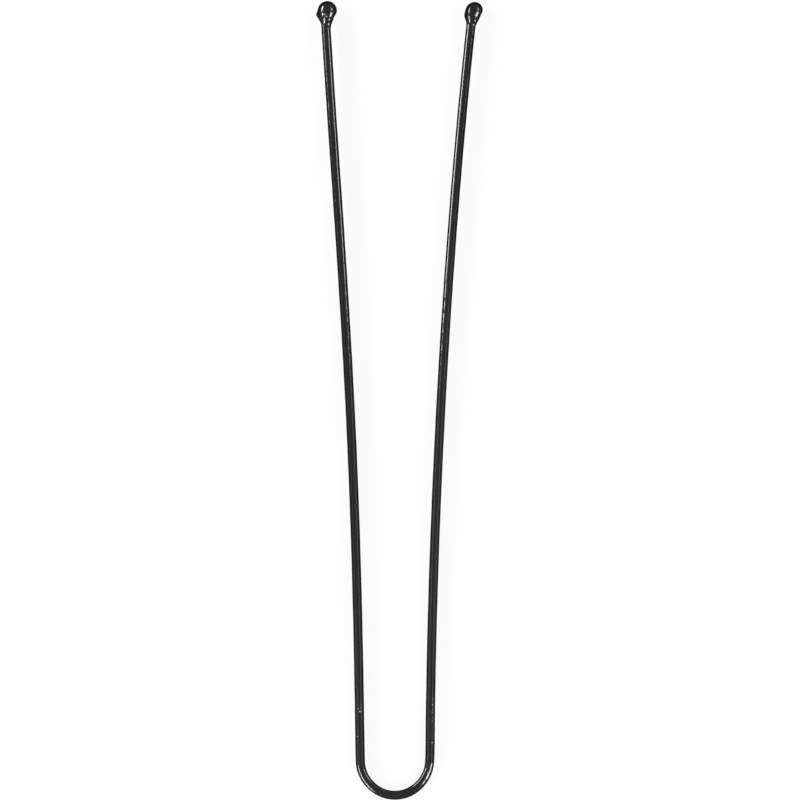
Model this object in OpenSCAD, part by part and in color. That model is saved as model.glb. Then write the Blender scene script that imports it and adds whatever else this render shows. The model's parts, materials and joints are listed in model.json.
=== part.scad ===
// Hairpin: one length of lacquered spring wire bent into a U, with a drop of resin on each tip.
// It lies on its side as it would on a table, with the bend towards -Y and the tips towards +Y.
// Both legs bow outwards. Each leg is drawn on the +X side and the left one is mirrored.

/* [Wire] */
// Diameter of the bare steel wire
core_d = 0.8; // [0.6:0.02:1]
// Thickness of the lacquer all round the wire
lacquer_t = 0.04; // [0.02:0.01:0.06]

/* [Bend] */
// Radius of the bend, to the middle of the wire
bend_r = 3.28; // [2.8:0.02:4.5]

/* [Legs] */
// Length of the whole pin, from the outside of the bend to the top of the left ball
pin_length = 76; // [60:0.5:90]
// Angle at which the left leg leaves the bend, outwards
left_splay = 0.93; // [0:0.01:2]
// Radius of the left leg's long outward bow
left_bow_r = 1135; // [600:5:2000]
// Angle at which the right leg leaves the bend, outwards
right_splay = 0.66; // [0:0.01:2]
// Radius of the right leg's long outward bow
right_bow_r = 775; // [600:5:2000]

/* [Ball tips] */
// Diameter of the left ball
left_ball_d = 1.84; // [1.7:0.02:2.2]
// Diameter of the right ball
right_ball_d = 1.7; // [1.7:0.02:2.2]
// Distance from the start of a ball's neck to the middle of the ball
neck_h = 1.5; // [1.4:0.05:1.8]
// Radius of the hollow curve where the neck runs out onto the wire
neck_fillet_r = 1.1; // [0.9:0.05:1.3]
// Thickness of the resin where the neck ends
neck_lip = 0.03; // [0.03:0.01:0.06]
// How far the lacquered wire reaches into the resin
wire_reach = 1.2; // [0.8:0.05:1.3]
// Angle at which the left ball leans outwards off its wire
left_lean = -8; // [-8:0.5:8]
// Angle at which the right ball leans outwards off its wire
right_lean = 4; // [-8:0.5:8]

/* [Runs in the resin] */
// Radius of the lump where the left ball's resin ran before it set
left_run_r = 0.38; // [0.3:0.02:0.44]
// How far the left lump's middle is from the middle of the ball
left_run_out = 0.76; // [0.5:0.02:0.8]
// Angle round the left ball, from its top outwards, at which the lump sits
left_run_angle = 125; // [90:1:145]
// Radius of the lump on the right ball
right_run_r = 0.36; // [0.3:0.02:0.44]
// How far the right lump's middle is from the middle of the ball
right_run_out = 0.74; // [0.5:0.02:0.8]
// Angle round the right ball, from its top outwards, at which the lump sits
right_run_angle = -142; // [-150:1:-90]

/* [Hidden] */

steel = "#8b8a86";
lacquer = "#161617";
resin = "#0d0d0f";

// Facets of the wire's round section, of a ball, of the bend and of a leg's long bow
ring_fn = 48;
ball_fn = 96;
bend_fn = 192;
bow_fn = 2880;

wire_d = core_d + 2 * lacquer_t;
left_ball_r = left_ball_d / 2;
right_ball_r = right_ball_d / 2;

// The necks of both balls start at this height above the middle of the bend
neck_y = pin_length - bend_r - wire_d / 2 - left_ball_r - neck_h;

// How far round its bow a leg turns to reach the height y
function bow_turn(splay, bow_r, y) = asin((y + (bend_r + bow_r) * sin(splay)) / bow_r) - splay;

// The middle of the wire after a turn round the bow
function bow_point(splay, bow_r, turn) = [
    (bend_r + bow_r) * cos(splay) - bow_r * cos(splay + turn),
    bow_r * sin(splay + turn) - (bend_r + bow_r) * sin(splay)
];

// The middle of a ball, which leans off the wire's direction at its neck
function ball_middle(neck, heading, lean) =
    neck + neck_h * [sin(heading + lean), cos(heading + lean)];

left_neck_turn = bow_turn(left_splay, left_bow_r, neck_y);
right_neck_turn = bow_turn(right_splay, right_bow_r, neck_y);
left_neck = bow_point(left_splay, left_bow_r, left_neck_turn);
right_neck = bow_point(right_splay, right_bow_r, right_neck_turn);
left_heading = left_splay + left_neck_turn;
right_heading = right_splay + right_neck_turn;
left_ball = ball_middle(left_neck, left_heading, left_lean);
right_ball = ball_middle(right_neck, right_heading, right_lean);

// The turn round the bow from the root of a leg to the wire's cut end inside the ball
left_turn = bow_turn(left_splay, left_bow_r, neck_y + wire_reach);
right_turn = bow_turn(right_splay, right_bow_r, neck_y + wire_reach);

// The pin rests on the bend and on both balls, so its plane climbs towards the tips and the
// thicker ball. The slopes are those at which all three just touch the table.
roll_slope = (right_ball_r - left_ball_r) / (right_ball[0] + left_ball[0]);
tip_lift = right_ball_r - wire_d / 2 - roll_slope * right_ball[0];
first_pitch = tip_lift / (right_ball[1] + bend_r);
pitch_slope = (tip_lift - bend_r * norm([first_pitch, roll_slope])) / right_ball[1];
plane_z = wire_d / 2 + bend_r * norm([pitch_slope, roll_slope]);

// The reach of the pin in its own plane, measured from the middle of the bend
left_reach = left_ball[0] + left_run_r
    + left_run_out * sin(left_heading + left_lean + left_run_angle);
right_reach = right_ball[0] + right_ball_r;
top_reach = left_ball[1] + left_ball_r;
bottom_reach = bend_r + wire_d / 2;

// Lays the pin on the table, with the origin under the middle of its box
module on_table() {
    translate([(left_reach - right_reach) / 2, (bottom_reach - top_reach) / 2, plane_z])
        rotate([atan(pitch_slope), -atan(roll_slope), 0])
            children();
}

// The section of the wire's core or of the lacquer round it
module section(outer_d, inner_d) {
    difference() {
        circle(d = outer_d, $fn = ring_fn);
        if (inner_d > 0) circle(d = inner_d, $fn = ring_fn);
    }
}

// The lower half of the U, which stops where the legs' splay begins
module bend_arc(outer_d, inner_d) {
    rotate([0, 0, 180 + left_splay])
        rotate_extrude(angle = 180 - left_splay - right_splay, $fn = bend_fn)
            translate([bend_r, 0])
                section(outer_d, inner_d);
}

// A leg from the end of the bend, bowed outwards about a far middle point
module leg_arc(splay, bow_r, turn, outer_d, inner_d) {
    rotate([0, 0, -splay])
        translate([bend_r + bow_r, 0, 0])
            rotate([0, 0, 180 - turn])
                rotate_extrude(angle = turn, $fn = bow_fn)
                    translate([bow_r, 0])
                        section(outer_d, inner_d);
}

// Half the outline of a drop of resin. The neck's cone touches both the ball and the hollow
// curve at its foot, and side is the angle of the cone to the axis.
module drop_profile(ball_r) {
    foot_x = wire_d / 2 + neck_lip + neck_fillet_r;
    side = acos((ball_r + neck_fillet_r) / norm([foot_x, neck_h])) - atan(neck_h / foot_x);
    touch = [cos(side), sin(side)];
    difference() {
        union() {
            intersection() {
                translate([0, neck_h]) circle(r = ball_r, $fn = ball_fn);
                translate([0, neck_h - ball_r]) square([ball_r, 2 * ball_r]);
            }
            polygon([
                [0, 0],
                [foot_x - neck_fillet_r, 0],
                [foot_x, 0] - neck_fillet_r * touch,
                [0, neck_h] + ball_r * touch,
                [0, neck_h]
            ]);
        }
        translate([foot_x, 0]) circle(r = neck_fillet_r, $fn = ball_fn);
    }
}

// A ball with its neck and the lump where the resin ran, hollow where the wire's end sits
module ball_tip(splay, bow_r, turn, neck, heading, lean, ball_r, run_r, run_out, run_angle) {
    difference() {
        translate(neck)
            rotate([0, 0, -heading - lean])
                union() {
                    rotate([-90, 0, 0])
                        rotate_extrude($fn = ball_fn) drop_profile(ball_r);
                    translate([0, neck_h, 0])
                        rotate([0, 0, -run_angle])
                            translate([0, run_out, 0])
                                sphere(r = run_r, $fn = ball_fn);
                }
        leg_arc(splay, bow_r, turn, wire_d, 0);
    }
}

module bend_wire() {
    color(steel) on_table() bend_arc(core_d, 0);
}

module bend_lacquer() {
    color(lacquer) on_table() bend_arc(wire_d, core_d);
}

module left_leg_wire() {
    color(steel) on_table() mirror([1, 0, 0])
        leg_arc(left_splay, left_bow_r, left_turn, core_d, 0);
}

module left_leg_lacquer() {
    color(lacquer) on_table() mirror([1, 0, 0])
        leg_arc(left_splay, left_bow_r, left_turn, wire_d, core_d);
}

module left_ball_tip() {
    color(resin) on_table() mirror([1, 0, 0])
        ball_tip(left_splay, left_bow_r, left_turn, left_neck, left_heading, left_lean,
                 left_ball_r, left_run_r, left_run_out, left_run_angle);
}

module right_leg_wire() {
    color(steel) on_table() leg_arc(right_splay, right_bow_r, right_turn, core_d, 0);
}

module right_leg_lacquer() {
    color(lacquer) on_table() leg_arc(right_splay, right_bow_r, right_turn, wire_d, core_d);
}

module right_ball_tip() {
    color(resin) on_table()
        ball_tip(right_splay, right_bow_r, right_turn, right_neck, right_heading, right_lean,
                 right_ball_r, right_run_r, right_run_out, right_run_angle);
}

bend_wire();
bend_lacquer();
left_leg_wire();
left_leg_lacquer();
left_ball_tip();
right_leg_wire();
right_leg_lacquer();
right_ball_tip();
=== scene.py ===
"""The looks of a U-shaped hairpin: black lacquered spring wire with a drop of resin on each tip.

Every shape is worked out flat, in the pin's own plane and in millimetres: x to the right leg's
side, y from the middle of the bend towards the tips, z up. It is then laid into the frame.
"""
import json
import math

import bpy
import numpy as np
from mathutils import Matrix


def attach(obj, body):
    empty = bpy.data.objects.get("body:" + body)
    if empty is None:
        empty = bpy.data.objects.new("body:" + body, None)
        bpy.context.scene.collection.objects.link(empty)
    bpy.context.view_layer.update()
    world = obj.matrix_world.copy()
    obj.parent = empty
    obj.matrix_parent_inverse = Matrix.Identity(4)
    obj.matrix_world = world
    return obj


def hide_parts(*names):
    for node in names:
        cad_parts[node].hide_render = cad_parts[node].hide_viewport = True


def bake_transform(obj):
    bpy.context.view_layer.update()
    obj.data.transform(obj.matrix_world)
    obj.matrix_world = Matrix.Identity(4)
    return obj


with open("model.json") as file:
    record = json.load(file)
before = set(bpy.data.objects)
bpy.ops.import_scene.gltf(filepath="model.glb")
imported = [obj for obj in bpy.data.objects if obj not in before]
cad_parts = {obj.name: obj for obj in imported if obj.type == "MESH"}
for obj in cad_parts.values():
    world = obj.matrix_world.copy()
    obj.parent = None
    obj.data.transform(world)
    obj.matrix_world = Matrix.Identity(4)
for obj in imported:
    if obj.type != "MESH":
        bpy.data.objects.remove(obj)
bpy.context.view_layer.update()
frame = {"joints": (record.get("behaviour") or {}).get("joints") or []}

# Sizes in millimetres, as the solids have them, but for a few microns that the coat has built up
# and for a micron of room between the steel and the coat
MM = 0.001
coat_builds = 0.004
wire_r = 0.44 + coat_builds
lacquer_t = 0.04 + coat_builds
core_gap = 0.001
bend_r = 3.28
wire_reach = 1.2

# Bending draws the wire a little thinner at the bottom of the bend, and a little tighter at the
# bend's shoulders. It also crowds the steel to the inside of the curve, so that the crown of the
# wire leans inwards there, and a little further on the right, where the wire was pushed round last.
# The lean is full where the wire is bent by the share lean_full_at of its most.
shoulders_tighten = 0.02
bend_thins = 0.0175
crown_leans_left = 0.08
crown_leans_right = 0.10
lean_full_at = 0.2

# How the legs leave the bend and bow, and how far each wanders off its bow on the way up.
# The wander is a series in the share of wander_span climbed: its square, cube and fourth power.
# Each leg also sprang out by its crook where it left the former: the crook comes within crook_half
# of the root, on both sides of it, and then fades up the leg.
wander_span = 70.0
wander_powers = (2, 3, 4)
crook_half = 1.2
crook_fade = 8.0
LEGS = {
    "left": {
        "side": -1, "splay": math.radians(0.93), "bow_r": 1135.0,
        "wander": (-2.08, 5.40, -3.34), "crook": 0.028,
    },
    "right": {
        "side": 1, "splay": math.radians(0.66), "bow_r": 775.0,
        "wander": (-0.18, -0.04, 0.19), "crook": 0.060,
    },
}

# The drops of resin: where the neck starts, the middle and radius of the ball, its half thickness
# upwards, the hollow curve at the neck's foot and the resin's thickness there. A lump or a dent is
# (angle round the ball from its top towards the right, height, spread), and stands where the resin
# ran before it set. A mark is a rise or a hollow of the upper face: (place to the right of the
# ball's middle, place above it, height, spread across, spread along).
DROPS = {
    "left": {
        "neck_y": 69.70, "ball": (-6.427, 71.362), "ball_r": 0.912, "half_thick": 0.916,
        "hollow_r": 1.70, "lip": 0.004,
        "lumps": [(-113, 0.150, 0.165), (-134, 0.139, 0.338), (130, -0.083, 0.197)],
        "marks": [(0.05, -0.90, 0.09, 0.32, 0.20), (-0.17, -0.52, 0.14, 0.08, 0.12),
                  (-0.50, -0.25, 0.05, 0.16, 0.16)],
    },
    "right": {
        "neck_y": 69.86, "ball": (7.561, 71.400), "ball_r": 0.797, "half_thick": 0.845,
        "hollow_r": 1.80, "lip": 0.004,
        "lumps": [(-129, 0.218, 0.380), (119, -0.040, 0.221), (-20, -0.076, 0.120)],
        "marks": [(0.10, -1.05, 0.10, 0.22, 0.22), (-0.45, -0.30, 0.18, 0.22, 0.50)],
    },
}

# A drop has its full thickness from this share of its height upwards
thick_from = 0.5

# Room between the resin's bore and the nominal coat, which its swells take up, and the shares of
# the wire's reach at which the bore has a ring of points
bore_gap = 0.01
bore_rings = (0.1, 0.5, 1.0)

# Rows along the wire every this many millimetres, and closer by a factor in the bend. Columns
# round the wire and round a drop, and rows down a drop's ball, its cone and its hollow foot
row_step = 0.1
bend_rows_closer = 2
wire_columns = 64
drop_columns = 144
ball_rows = 60
cone_rows = 11
foot_rows = 25

# Faces that meet at more than this many degrees keep a sharp edge, on the wire and on a drop
wire_corner = 30
drop_corner = 60

# Long swells in the lacquer: height in mm, length in mm, turns round the wire, phase
SWELLS = [
    (0.0022, 7.3, 0, 0.4), (0.0020, 4.1, 1, 1.9), (0.0016, 2.7, 1, 4.4), (0.0012, 1.9, 2, 2.6),
    (0.0009, 1.3, 1, 5.3), (0.0007, 0.83, 2, 0.9), (0.0005, 0.57, 1, 3.7),
]

# Nibs and pits in the lacquer: millimetres along the wire from the middle of the bend (left is
# negative), angle from the outside of the U upwards, height in mm, spread in mm
NIBS = [
    (7.0, 66, 0.012, 0.09), (6.6, 70, 0.010, 0.07), (5.9, 66, 0.012, 0.09), (8.9, 68, 0.010, 0.08),
    (10.5, 64, 0.011, 0.08), (10.9, 68, 0.010, 0.07), (12.0, 66, 0.010, 0.08),
    (45.1, 68, 0.010, 0.07), (45.5, 68, 0.009, 0.06), (47.7, 118, -0.010, 0.16),
    (3.2, 50, -0.025, 0.22), (3.9, 52, -0.030, 0.22), (4.6, 50, -0.025, 0.22),
    (-10.4, 95, 0.009, 0.07), (-10.1, 92, 0.009, 0.07), (-9.8, 122, 0.012, 0.09), (-7.4, 78, 0.010, 0.07),
]

# Grey marks on the lacquer. The first is a scuff on the left leg, and the next three are small grey specks
# low on the left leg and on the bend. The rest are painted highlights: grey specks where the streak breaks
# into knots on the right leg, and a grey patch for the broad highlight on the bend's right shoulder. Each is
# millimetres along the wire and degrees round it, as for the nibs, then how strong the mark is, and the
# spread along and round in mm
SCUFFS_AND_GLINTS = [
    (-10.15, 100, 0.47, 0.55, 0.28), (-7.5, 59, 0.70, 0.06, 0.05), (-1.35, 134, 0.75, 0.06, 0.05),
    (-1.15, 120, 0.70, 0.06, 0.04), (3.95, 70, 0.45, 0.45, 0.12), (6.9, 67, 0.70, 0.10, 0.05),
    (9.1, 67, 0.22, 0.16, 0.05), (10.0, 68, 0.14, 0.12, 0.04), (10.7, 67, 0.12, 0.25, 0.05),
    (10.9, 67, 0.41, 2.20, 0.05),
    (45.1, 70, 0.70, 0.08, 0.05), (45.5, 68, 0.70, 0.08, 0.05),
]

# Patterns, as counts per millimetre. The drawing lines of real wire, and the grit that breaks up the grey
# marks, scuffs and painted highlights alike, are too fine to show, so they are drawn about one pixel of the
# photograph wide.
lines_per_mm_round = 9.0
lines_per_mm_along = 0.25
sags_per_mm_round = 0.7
sags_per_mm_along = 1.4
grit_per_mm = 5.0
skin_per_mm = 1.6
steel_lines_per_mm_round = 14.0
steel_lines_per_mm_along = 0.3

# Depths in mm of the drawing lines, of the lacquer's sags and of the resin's skin
line_depth = 0.0010
sag_depth = 0.009
skin_depth = 0.006

# What fine noise takes from a grey mark, scuff and painted highlight alike, and how far past it the mark has
# to be for a full grey speck
grit_takes = 0.8
speck_full_at = 0.10

# Handling dulls the outside of each leg: it begins at the first of these places along the wire, and
# is full from the second on. Across the wire it begins at the crown, and dulled_out mm further out
# it takes dulled_share of the gloss.
left_held = (-12.0, -26.0)
right_held = (45.0, 62.0)
dulled_out = 0.15
dulled_share = 0.5

# The gloss of the lacquer and the resin: its level face on and at the rim, and how far the surface
# has turned from the eye, from 0 to 1, where the first begins to fall and the second is reached
level_face_on = 0.8
level_at_rim = 0.0
falls_from = 0.24
falls_to = 0.38

# Placing the pin: its plane's own axes and the middle of its bend, from the joints of the frame
hinges = {joint["child"]: joint for joint in frame["joints"]}
right_hinge = np.array(hinges["right_leg"]["pos_m"])
plane_up = np.array(hinges["right_leg"]["axis"])
plane_x = np.cross([0.0, 1.0, 0.0], plane_up)
plane_x /= np.linalg.norm(plane_x)
plane_y = np.cross(plane_up, plane_x)
right_splay = LEGS["right"]["splay"]
to_right_root = math.cos(right_splay) * plane_x - math.sin(right_splay) * plane_y
bend_middle = right_hinge - bend_r * MM * to_right_root


def lay(points):
    """Turns points of the pin's plane, in mm, into points of the frame, in metres."""
    points = np.asarray(points, float)
    return bend_middle + MM * (points @ np.stack([plane_x, plane_y, plane_up]))


def smooth_step(share):
    """From 0 to 1 with no corner: three times the share's square, less twice its cube."""
    share = np.clip(share, 0, 1)
    return share**2 * (3 - 2 * share)


def crook_out(leg, past):
    """How far a leg stands out by its crook, this far past its root: a smooth step times a fade."""
    step = smooth_step((past + crook_half) / (2 * crook_half))
    return leg["crook"] * step * np.exp(-np.clip(past, 0, None) / crook_fade)


def leg_out(leg, y):
    """How far a leg's middle is from the pin's middle line at the height y: an arc of the bow's
    radius that starts at the splay, plus the wander's square, cube and fourth power, and the crook."""
    reach = bend_r + leg["bow_r"]
    turn = (y + reach * math.sin(leg["splay"])) / leg["bow_r"]
    arc = reach * math.cos(leg["splay"]) - leg["bow_r"] * np.sqrt(1 - turn**2)
    share = y / wander_span
    wander = sum(c * share**power for c, power in zip(leg["wander"], wander_powers))
    return arc + wander + crook_out(leg, y + bend_r * math.sin(leg["splay"]))


def leg_point(leg, y):
    """The middle of a leg at the height y, on its own side of the pin."""
    return np.array([leg["side"] * leg_out(leg, y), y, 0.0])


def leg_path(leg, end_y):
    """A leg's middle line from its root to end_y: (length along the wire from the middle of the
    bend, middle points, outward directions), in order from the left tip to the right tip."""
    root_y = -bend_r * math.sin(leg["splay"])
    y = np.linspace(root_y, end_y, int((end_y - root_y) / row_step))
    out = leg_out(leg, y)
    slope = np.gradient(out, y, edge_order=2)
    steps = np.hypot(np.diff(out), np.diff(y))
    along = bend_r * (math.pi / 2 - leg["splay"]) + np.concatenate([[0], np.cumsum(steps)])
    lean = np.hypot(1, slope)
    side = leg["side"]
    middle = np.stack([side * out, y, 0 * y], 1)
    outward = np.stack([side / lean, -slope / lean, 0 * y], 1)
    return (side * along)[::side], middle[::side], outward[::side]


def bend_path():
    """The middle line of the bend: a half circle whose radius gives way by four times the share
    bent times the share not bent, which is most at the shoulders, and takes the legs' crooks at
    its ends. The share bent is the square of the sine of the turn. Gives (length along the wire
    from its middle, middle points, outward directions, share bent)."""
    start = math.pi + LEGS["left"]["splay"]
    end = 2 * math.pi - LEGS["right"]["splay"]
    angle = np.linspace(start, end, int(bend_r * (end - start) / row_step) * bend_rows_closer)
    bent = np.sin((angle - start) / (end - start) * math.pi) ** 2
    radius = bend_r - shoulders_tighten * 4 * bent * (1 - bent)
    radius += crook_out(LEGS["left"], bend_r * (start - angle))
    radius += crook_out(LEGS["right"], bend_r * (angle - end))
    middle = radius[:, None] * np.stack([np.cos(angle), np.sin(angle), 0 * angle], 1)
    ahead = np.gradient(middle, angle, axis=0, edge_order=2)
    ahead /= np.linalg.norm(ahead, axis=1)[:, None]
    outward = np.stack([ahead[:, 1], -ahead[:, 0], 0 * angle], 1)
    return bend_r * (angle - 1.5 * math.pi), middle, outward, bent


def round_off(angle, degrees):
    """The angle between each point and a place round the wire, from minus to plus half a turn."""
    return (angle - math.radians(degrees) + math.pi) % (2 * math.pi) - math.pi


def lacquer_relief(along, angle):
    """Height of the lacquer over its mean: a sum of sine swells that run along the wire and wind
    round it, plus a bell-shaped hill for each nib."""
    relief = 0 * (along + angle)
    for height, length, turns, phase in SWELLS:
        relief = relief + height * np.sin(2 * math.pi * along / length + turns * angle + phase)
    for place, degrees, height, spread in NIBS:
        apart = (along - place) ** 2 + (wire_r * round_off(angle, degrees)) ** 2
        relief = relief + height * np.exp(-apart / (2 * spread**2))
    return relief


def scuffs_and_glints(along, angle):
    """How strong the grey marks are: a sum of bell-shaped patches, one for each mark, scuff and painted
    highlight alike.
    """
    worn = 0 * (along + angle)
    for place, degrees, strength, spread_along, spread_round in SCUFFS_AND_GLINTS:
        ahead = (along - place) / spread_along
        beside = wire_r * round_off(angle, degrees) / spread_round
        worn = worn + strength * np.exp(-(ahead**2 + beside**2) / 2)
    return worn


def rings(middle, outward, radius, angle, lean):
    """A tube's grid: each middle point plus the radius times the cosine of the angle outwards and
    the sine upwards, less the lean times the square of the sine outwards. Rows follow the wire and
    columns go round it."""
    up = np.array([0.0, 0.0, 1.0])
    radius = np.broadcast_to(radius, angle.shape)
    out = radius * np.cos(angle) - lean[:, None] * np.sin(angle) ** 2
    return middle[:, None] + out[..., None] * outward[:, None] + (radius * np.sin(angle))[..., None] * up


def grid_faces(rows, columns, rows_close):
    """Corners of each face of a grid whose columns close, and whose rows close if asked to."""
    row = np.arange(rows if rows_close else rows - 1)[:, None]
    column = np.arange(columns)[None, :]
    ahead = (row + 1) % rows * columns
    beside = (column + 1) % columns
    corners = [row * columns + column, ahead + column, ahead + beside, row * columns + beside]
    return np.stack(np.broadcast_arrays(*corners), -1).reshape(-1, 4)


def pole_faces(first, columns, pole, turned):
    """Triangles from one row of a grid to the point that closes it."""
    column = first + np.arange(columns)
    beside = first + (np.arange(columns) + 1) % columns
    corners = [column, beside] if turned else [beside, column]
    return np.stack([*corners, np.full(columns, pole)], -1)


def skin(name, grid, corner, straight=None, poles=None):
    """A mesh piece from a grid of points. Its rows close on themselves, or end in two poles, and
    its edges stay sharp where they turn by more than the corner. straight is the same grid on the
    straightened wire, kept as an attribute for the patterns."""
    rows, columns = grid.shape[:2]
    points = grid.reshape(-1, 3)
    faces = grid_faces(rows, columns, poles is None).tolist()
    if poles is not None:
        points = np.concatenate([points, poles])
        faces += pole_faces(0, columns, len(points) - 2, True).tolist()
        faces += pole_faces((rows - 1) * columns, columns, len(points) - 1, False).tolist()
    mesh = bpy.data.meshes.new(name)
    mesh.from_pydata(lay(points).tolist(), [], faces)
    if straight is not None:
        flat = straight.reshape(-1, 3)
        if poles is not None:
            on_axis = [0, 1, 0]
            flat = np.concatenate([flat, flat[:1] * on_axis, flat[-1:] * on_axis])
        attribute = mesh.attributes.new("straight_mm", "FLOAT_VECTOR", "POINT")
        attribute.data.foreach_set("vector", flat.astype(np.float32).ravel())
    mesh.validate()
    mesh.shade_smooth()
    mesh.set_sharp_from_angle(angle=math.radians(corner))
    piece = bpy.data.objects.new(name, mesh)
    bpy.context.scene.collection.objects.link(piece)
    return piece


def straightened(along, radius, angle):
    """Where each point of a tube's grid would be on the straightened wire: (outward, along, up)."""
    radius = np.broadcast_to(radius, angle.shape)
    along = np.broadcast_to(along[:, None], angle.shape)
    return np.stack([radius * np.cos(angle), along, radius * np.sin(angle)], -1)


def angles_round(rows):
    """The angle of each column round the wire, repeated for each row."""
    turn = np.linspace(0, 2 * math.pi, wire_columns, endpoint=False)
    return np.broadcast_to(turn, (rows, wire_columns))


def coat(name, along, middle, outward, radius, lean):
    """A sleeve of lacquer: its outer wall carries the relief, then its inner wall runs back, so
    that the grid's rows close into one shell with a flat ring at each end."""
    angle = angles_round(len(along))
    outer = radius[:, None] + lacquer_relief(along[:, None], angle)
    inner = np.broadcast_to(radius[:, None] - lacquer_t, angle.shape)
    walls = [rings(middle, outward, wall, angle, lean) for wall in (outer, inner)]
    grid = np.concatenate([walls[0], walls[1][::-1]])
    flat = np.concatenate([straightened(along, outer, angle), straightened(along, inner, angle)[::-1]])
    piece = skin(name, grid, wire_corner, flat)
    # The grey marks, real scuffs and specks and painted highlights alike, go with the coat's outer wall as a
    # point attribute
    worn = scuffs_and_glints(along[:, None], angle)
    attribute = piece.data.attributes.new("worn", "FLOAT", "POINT")
    attribute.data.foreach_set("value", np.concatenate([worn, 0 * worn]).astype(np.float32).ravel())
    return piece


def core(name, along, middle, outward, radius, lean):
    """The steel inside a sleeve: a plain tube of points, closed by a flat disc at each end."""
    angle = angles_round(len(along))
    inside = radius[:, None] - lacquer_t - core_gap
    grid = rings(middle, outward, inside, angle, lean)
    return skin(name, grid, wire_corner, straightened(along, inside, angle), middle[[0, -1]])


def drop_profile(drop, neck_h):
    """Half the outline of a drop, from its top pole to the neck's foot: an arc of the ball, a cone
    that touches both arcs, and the hollow curve. Columns are (distance off the axis, height)."""
    ball_r, hollow_r = drop["ball_r"], drop["hollow_r"]
    foot = wire_r + drop["lip"] + hollow_r
    cone = math.acos((ball_r + hollow_r) / math.hypot(foot, neck_h)) - math.atan(neck_h / foot)
    round_ball = np.linspace(math.pi / 2, cone, ball_rows + 1)[1:]
    ball = np.stack([ball_r * np.cos(round_ball), neck_h + ball_r * np.sin(round_ball)], 1)
    round_foot = np.linspace(cone, 0, foot_rows)
    hollow = np.stack([foot - hollow_r * np.cos(round_foot), -hollow_r * np.sin(round_foot)], 1)
    share = np.linspace(0, 1, cone_rows + 2)[1:-1, None]
    return np.concatenate([ball, ball[-1] + share * (hollow[0] - ball[-1]), hollow])


def resin_swell(drop, ball, grid, angle):
    """How far a drop stands proud of its plain form: a bell-shaped hill or dent for each lump, at
    its bearing on the ball, and for each mark, faded by the sine of the angle round the drop."""
    swell = np.zeros(grid.shape[:2])
    for degrees, tall, spread in drop["lumps"]:
        bearing = math.radians(degrees)
        place = ball + drop["ball_r"] * np.array([math.sin(bearing), math.cos(bearing), 0.0])
        swell += tall * np.exp(-((grid - place) ** 2).sum(-1) / (2 * spread**2))
    for right, ahead, tall, spread_across, spread_along in drop["marks"]:
        across = (grid[..., 0] - ball[0] - right) / spread_across
        along = (grid[..., 1] - ball[1] - ahead) / spread_along
        swell += tall * np.exp(-(across**2 + along**2) / 2) * np.clip(np.sin(angle), 0, 1)
    return swell


def resin_drop(name, leg, drop):
    """A drop of resin: its outline turned about the line from its neck to its ball, made thicker
    upwards by a share that grows with the height, swollen along its own normals, and hollow where
    the wire's end sits."""
    neck = leg_point(leg, drop["neck_y"])
    ball = np.array([*drop["ball"], 0.0])
    neck_h = np.linalg.norm(ball - neck)
    axis = (ball - neck) / neck_h
    across = np.array([axis[1], -axis[0], 0.0])
    up = np.array([0.0, 0.0, 1.0])
    profile = drop_profile(drop, neck_h)
    run = np.gradient(profile, axis=0)
    run /= np.linalg.norm(run, axis=1)[:, None]
    angle = np.linspace(0, 2 * math.pi, drop_columns, endpoint=False)[None, :]
    around = np.cos(angle)[..., None] * across + np.sin(angle)[..., None] * up
    off, height = profile[:, 0, None, None], profile[:, 1, None, None]
    thick_share = np.clip(height / (thick_from * profile[:, 1].max()), 0, 1)
    thicker = (drop["half_thick"] / drop["ball_r"] - 1) * thick_share
    grid = neck + off * around * (1 + thicker * up) + height * axis
    normal = -run[:, 1, None, None] * around + run[:, 0, None, None] * axis
    grid = grid + resin_swell(drop, ball, grid, angle)[..., None] * normal
    bore_y = drop["neck_y"] + wire_reach * np.array(bore_rings)
    bore_middle = np.stack([leg["side"] * leg_out(leg, bore_y), bore_y, 0 * bore_y], 1)
    bore = bore_middle[:, None] + (wire_r + bore_gap) * around
    grid = np.concatenate([grid, bore])[::-1]
    top = neck + (neck_h + drop["ball_r"]) * axis
    return skin(name, grid, drop_corner, poles=np.array([bore_middle[-1], top]))


def paint(colour):
    """An sRGB hex colour as linear red, green, blue and a full alpha."""
    channels = [int(colour[i:i + 2], 16) / 255 for i in (1, 3, 5)]
    return [c / 12.92 if c <= 0.04045 else ((c + 0.055) / 1.055) ** 2.4 for c in channels] + [1.0]


def add(tree, kind, settings=(), sockets=(), links=()):
    """Adds a node: settings are its own properties, sockets are (input, value) pairs, and links
    are (input, node, output) triples."""
    new = tree.nodes.new(kind)
    for name, value in settings:
        setattr(new, name, value)
    for name, value in sockets:
        new.inputs[name].default_value = value
    for name, source, output in links:
        tree.links.new(source.outputs[output], new.inputs[name])
    return new


def surface(name, shader_sockets):
    """A new material whose shader has these values: (the material, its node tree, its shader)."""
    material = bpy.data.materials.new(name)
    material.use_nodes = True
    shader = material.node_tree.nodes["Principled BSDF"]
    for socket, value in shader_sockets:
        shader.inputs[socket].default_value = value
    return material, material.node_tree, shader


def drawn_out(tree, place, round_per_mm, along_per_mm, detail):
    """Noise on the straightened wire, with its own count per millimetre round and along it."""
    stretched = add(tree, "ShaderNodeMapping", [("vector_type", "POINT")],
                    [("Scale", (round_per_mm, along_per_mm, round_per_mm))],
                    [("Vector", place, "Vector")])
    return add(tree, "ShaderNodeTexNoise", [], [("Scale", 1.0), ("Detail", detail)],
               [("Vector", stretched, "Vector")])


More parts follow.
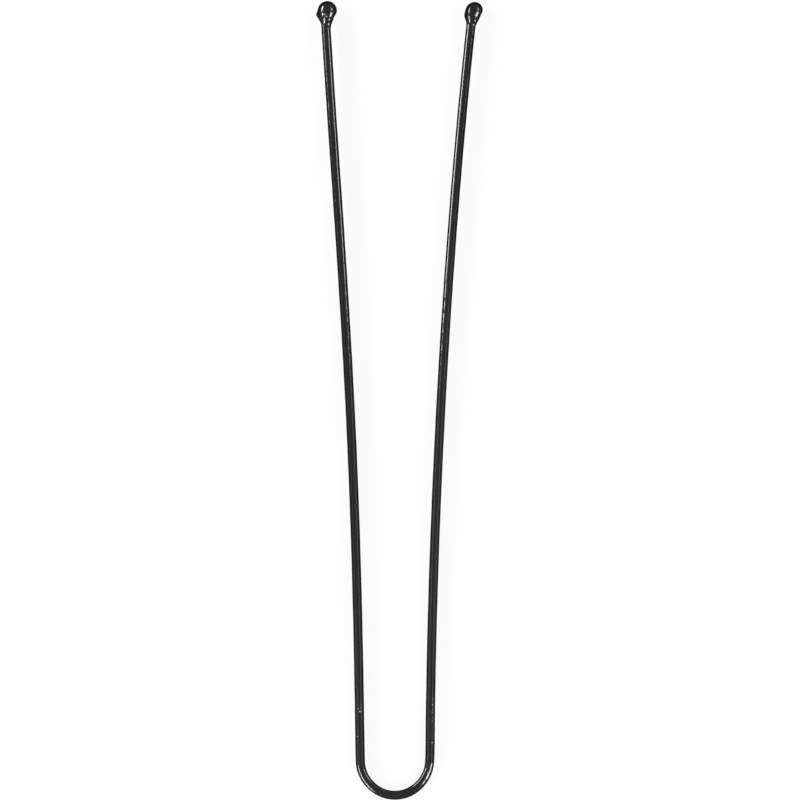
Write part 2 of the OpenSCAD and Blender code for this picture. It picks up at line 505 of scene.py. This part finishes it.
def rim_stays_black(tree):
    """The specular level of a stoved or skinned surface. It is finely rough, and shades its own
    reflections where it is seen edge on, so that the outline stays black on white paper."""
    edge = add(tree, "ShaderNodeLayerWeight", [], [("Blend", 0.5)])
    return add(tree, "ShaderNodeMapRange", [("interpolation_type", "SMOOTHSTEP")],
               [("From Min", falls_from), ("From Max", falls_to),
                ("To Min", level_face_on), ("To Max", level_at_rim)],
               [("Value", edge, "Facing")])


def specks_and_glints(tree, place):
    """How much of a place is grey: from scuffs and specks on the lacquer, and from painted highlights on the
    streak and the bend. Each mark is a cluster of fine specks: fine noise is taken from how strong the mark
    is there, and what is left is stretched from 0 to 1."""
    worn = add(tree, "ShaderNodeAttribute", [("attribute_name", "worn")])
    grit = add(tree, "ShaderNodeTexNoise", [], [("Scale", grit_per_mm), ("Detail", 2.0)],
               [("Vector", place, "Vector")])
    taken = add(tree, "ShaderNodeMath", [("operation", "MULTIPLY")], [(1, grit_takes)], [(0, grit, "Fac")])
    past = add(tree, "ShaderNodeMath", [("operation", "SUBTRACT")], [], [(0, worn, "Fac"), (1, taken, 0)])
    return add(tree, "ShaderNodeMapRange", [], [("From Max", speck_full_at)], [("Value", past, 0)])


def gloss_kept(tree, place):
    """How much of its gloss a place keeps: one, less the share that hands and hair have dulled on
    the outside of the left leg, and of the right leg near its tip."""
    side = add(tree, "ShaderNodeSeparateXYZ", [], [], [("Vector", place, "Vector")])
    left, right = [add(tree, "ShaderNodeMapRange", [], [("From Min", first), ("From Max", last)],
                       [("Value", side, "Y")]) for first, last in (left_held, right_held)]
    handled = add(tree, "ShaderNodeMath", [("operation", "ADD")], [], [(0, left, 0), (1, right, 0)])
    outside = add(tree, "ShaderNodeMapRange", [], [("From Max", dulled_out), ("To Max", dulled_share)],
                  [("Value", side, "X")])
    dulled = add(tree, "ShaderNodeMath", [("operation", "MULTIPLY")], [], [(0, handled, 0), (1, outside, 0)])
    return add(tree, "ShaderNodeMath", [("operation", "SUBTRACT")], [(0, 1.0)], [(1, dulled, 0)])


def baked_lacquer():
    """Black baking lacquer, dipped and stoved on drawn wire. It is a deep black that gives a long satin
    streak down the wire, broken by the drawing lines under it and by its own orange peel, with grey specks
    where it is scuffed, and grey specks and a grey patch painted on as highlights where the streak breaks
    into knots and spreads on the bend."""
    material, tree, shader = surface("black_baked_lacquer", [("IOR", 1.5)])
    place = add(tree, "ShaderNodeAttribute", [("attribute_name", "straight_mm")])
    drawn = drawn_out(tree, place, lines_per_mm_round, lines_per_mm_along, detail=2.0)
    peel = drawn_out(tree, place, sags_per_mm_round, sags_per_mm_along, detail=1.0)
    speck_and_glint = specks_and_glints(tree, place)
    black = add(tree, "ShaderNodeMix", [("data_type", "RGBA")],
                [("A", paint("#0c0c0e")), ("B", paint("#1b1b1d"))], [("Factor", peel, "Fac")])
    # Grey where the marks are: real scuffs and specks, and painted highlights on the streak and the bend
    tone = add(tree, "ShaderNodeMix", [("data_type", "RGBA")], [("B", paint("#858580"))],
               [("A", black, "Result"), ("Factor", speck_and_glint, 0)])
    satin = add(tree, "ShaderNodeMapRange", [], [("To Min", 0.08), ("To Max", 0.17)],
                [("Value", drawn, "Fac")])
    gloss = add(tree, "ShaderNodeMix", [("data_type", "FLOAT")], [("B", 0.5)],
                [("A", satin, "Result"), ("Factor", speck_and_glint, 0)])
    groove = add(tree, "ShaderNodeBump", [], [("Strength", 1.0), ("Distance", line_depth * MM)],
                 [("Height", drawn, "Fac")])
    dimple = add(tree, "ShaderNodeBump", [], [("Strength", 1.0), ("Distance", sag_depth * MM)],
                 [("Height", peel, "Fac"), ("Normal", groove, "Normal")])
    level = add(tree, "ShaderNodeMath", [("operation", "MULTIPLY")], [],
                [(0, rim_stays_black(tree), 0), (1, gloss_kept(tree, place), 0)])
    tree.links.new(tone.outputs["Result"], shader.inputs["Base Color"])
    tree.links.new(gloss.outputs["Result"], shader.inputs["Roughness"])
    tree.links.new(dimple.outputs["Normal"], shader.inputs["Normal"])
    tree.links.new(level.outputs[0], shader.inputs["Specular IOR Level"])
    return material


def dipped_resin():
    """Black epoxy resin, set from a dipped drop. It is a wet-looking black with small sharp lights,
    a little uneven where it skinned over."""
    material, tree, shader = surface("black_dipped_resin", [("IOR", 1.5)])
    place = add(tree, "ShaderNodeTexCoord")
    skinned = add(tree, "ShaderNodeTexNoise", [], [("Scale", skin_per_mm / MM), ("Detail", 2.0)],
                  [("Vector", place, "Object")])
    tone = add(tree, "ShaderNodeMix", [("data_type", "RGBA")],
               [("A", paint("#0d0d0e")), ("B", paint("#1b1b1d"))], [("Factor", skinned, "Fac")])
    gloss = add(tree, "ShaderNodeMapRange", [], [("To Min", 0.07), ("To Max", 0.16)],
                [("Value", skinned, "Fac")])
    ripple = add(tree, "ShaderNodeBump", [], [("Strength", 1.0), ("Distance", skin_depth * MM)],
                 [("Height", skinned, "Fac")])
    tree.links.new(tone.outputs["Result"], shader.inputs["Base Color"])
    tree.links.new(gloss.outputs["Result"], shader.inputs["Roughness"])
    tree.links.new(ripple.outputs["Normal"], shader.inputs["Normal"])
    tree.links.new(rim_stays_black(tree).outputs[0], shader.inputs["Specular IOR Level"])
    return material


def drawn_steel():
    """Cold-drawn spring steel, which the lacquer hides. It is a grey metal with a soft sheen and
    fine lines along the wire."""
    material, tree, shader = surface("cold_drawn_steel", [("Metallic", 1.0)])
    place = add(tree, "ShaderNodeAttribute", [("attribute_name", "straight_mm")])
    drawn = drawn_out(tree, place, steel_lines_per_mm_round, steel_lines_per_mm_along, detail=3.0)
    tone = add(tree, "ShaderNodeMix", [("data_type", "RGBA")],
               [("A", paint("#7d7c78")), ("B", paint("#a3a19b"))], [("Factor", drawn, "Fac")])
    gloss = add(tree, "ShaderNodeMapRange", [], [("To Min", 0.28), ("To Max", 0.45)],
                [("Value", drawn, "Fac")])
    tree.links.new(tone.outputs["Result"], shader.inputs["Base Color"])
    tree.links.new(gloss.outputs["Result"], shader.inputs["Roughness"])
    return material


lacquer = baked_lacquer()
resin = dipped_resin()
steel = drawn_steel()


def dress(piece, material, node):
    """Gives a piece its material and slot, and hides the solid that it stands for."""
    piece.data.materials.append(material)
    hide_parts(node)


def make_bend():
    """The bend's coat and core, which keep still between the two legs. Their crown leans inwards
    by a smooth step of the share bent, and further on the right than on the left."""
    along, middle, outward, bent = bend_path()
    section = wire_r - bend_thins * np.sqrt(bent)
    rightwards = (1 + np.tanh(along)) / 2
    crown_leans = crown_leans_left + rightwards * (crown_leans_right - crown_leans_left)
    lean = crown_leans * smooth_step(bent / lean_full_at)
    bend_coat = coat("bend_coat", along, middle, outward, section, lean)
    bend_core = core("bend_core", along, middle, outward, section, lean)
    dress(bend_coat, lacquer, "bend_lacquer")
    dress(bend_core, steel, "bend_wire")
    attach(bend_coat, "bend")
    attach(bend_core, "bend")


def make_leg(name, leg, drop):
    """A leg's coat and core, laid fixed into the frame, and its tip, which rides on the leg's body."""
    body = name + "_leg"
    along, middle, outward = leg_path(leg, drop["neck_y"] + wire_reach)
    section = np.full(len(along), wire_r)
    leg_coat = coat(body + "_coat", along, middle, outward, section, 0 * along)
    leg_core = core(body + "_core", along, middle, outward, section, 0 * along)
    dress(leg_coat, lacquer, body + "_lacquer")
    dress(leg_core, steel, body + "_wire")
    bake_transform(leg_coat)
    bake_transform(leg_core)
    tip = resin_drop(name + "_resin_tip", leg, drop)
    dress(tip, resin, name + "_ball_tip")
    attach(tip, body)


make_bend()
for name, leg in LEGS.items():
    make_leg(name, leg, DROPS[name])

# The floor's size in metres, the share of its white that is its own, and the room's strength
floor_size = 3.0
own_white = 0.9
room_strength = 0.25


def white_paper():
    """White paper. Part of its white is its own, where the camera, a reflection or glass looks at
    it, so that the pin's shadow is as faint as in soft light from all round."""
    paper, tree, shader = surface("white_paper", [("Base Color", paint("#ffffff")), ("Roughness", 0.9),
                                                  ("Specular IOR Level", 0.0)])
    ray = add(tree, "ShaderNodeLightPath")
    looked_at = add(tree, "ShaderNodeMath", [("operation", "MAXIMUM")], [],
                    [(0, ray, "Is Camera Ray"), (1, ray, "Is Glossy Ray")])
    seen = add(tree, "ShaderNodeMath", [("operation", "MAXIMUM")], [],
               [(0, looked_at, 0), (1, ray, "Is Transmission Ray")])
    part = add(tree, "ShaderNodeMath", [("operation", "MULTIPLY")], [(1, own_white)], [(0, seen, 0)])
    white = add(tree, "ShaderNodeEmission", [], [("Color", paint("#ffffff")), ("Strength", 1.0)])
    mix = add(tree, "ShaderNodeMixShader", [], [],
              [(0, part, 0), (1, shader, "BSDF"), (2, white, "Emission")])
    tree.links.new(mix.outputs[0], tree.nodes["Material Output"].inputs["Surface"])
    return paper


bpy.ops.mesh.primitive_plane_add(size=floor_size)
floor = bpy.context.object
floor.name = "white_paper_floor"
floor.data.materials.append(white_paper())

# The room: an even, pale grey light from all round
world = bpy.data.worlds.new("pale_room")
bpy.context.scene.world = world
world.use_nodes = True
world.node_tree.nodes["Background"].inputs["Color"].default_value = paint("#ffffff")
world.node_tree.nodes["Background"].inputs["Strength"].default_value = room_strength

# Strip lamps: name, distance out to the right, lowest and highest y, elevation in degrees, height
# and radiance, with lengths in metres. On each side a long strip stands level with the legs and
# another beyond the bend, with a gap between them that leaves the lower legs without a streak, and
# a broad weak one fills above both.
LAMPS = [
    ("left_upper", -0.30, 0.033, 0.33, 22, 0.045, 28.0),
    ("left_lower", -0.30, -0.52, -0.12, 28, 0.040, 30.0),
    ("right_upper", 0.30, 0.032, 0.18, 33, 0.040, 14.0),
    ("right_lower", 0.30, -0.27, -0.12, 32, 0.160, 12.0),
    ("left_fill", -0.30, -0.45, 0.45, 42, 0.100, 1.0),
    ("right_fill", 0.30, -0.45, 0.45, 42, 0.100, 1.0),
]


def hang_strip(name, out, low, high, elevation, height, radiance):
    """A strip lamp that faces the pin from one side: its power is its radiance times pi times its
    area, and it hangs at its distance out times the tangent of its elevation."""
    light = bpy.data.lights.new(name + "_strip", "AREA")
    light.shape = "RECTANGLE"
    light.size = height
    light.size_y = high - low
    light.energy = radiance * math.pi * light.size * light.size_y
    lamp = bpy.data.objects.new(name + "_strip", light)
    lamp.location = (out, (low + high) / 2, abs(out) * math.tan(math.radians(elevation)))
    lamp.rotation_euler = (0, math.copysign(math.radians(90 - elevation), out), 0)
    lamp.visible_camera = False
    bpy.context.scene.collection.objects.link(lamp)


for strip in LAMPS:
    hang_strip(*strip)

# The camera looks straight down, with its frame as wide as the photograph is at the pin's plane.
# In the photograph, whose frame is square, the middle of the bend is this many pixels from the
# left and from the top. The lens and its sensor are in millimetres, and the nearest and farthest
# that the camera sees are in metres.
photo_side = 800
photo_px_per_mm = 10.512
bend_px_right = 394.93
bend_px_down = 761.0
lens = 200.0
sensor = 36.0
nearest = 0.01
farthest = 10.0
right_of_bend = (photo_side / 2 - bend_px_right) / photo_px_per_mm
above_bend = (bend_px_down - photo_side / 2) / photo_px_per_mm
photo_middle = lay([right_of_bend, above_bend, 0.0])
camera_rise = photo_side / photo_px_per_mm * MM * lens / sensor
camera_data = bpy.data.cameras.new("camera")
camera_data.lens = lens
camera_data.sensor_width = sensor
camera_data.clip_start = nearest
camera_data.clip_end = farthest
camera = bpy.data.objects.new("camera", camera_data)
camera.location = (photo_middle[0], photo_middle[1], photo_middle[2] + camera_rise)
bpy.context.scene.collection.objects.link(camera)
bpy.context.scene.camera = camera

bpy.context.scene.view_settings.view_transform = "Standard"
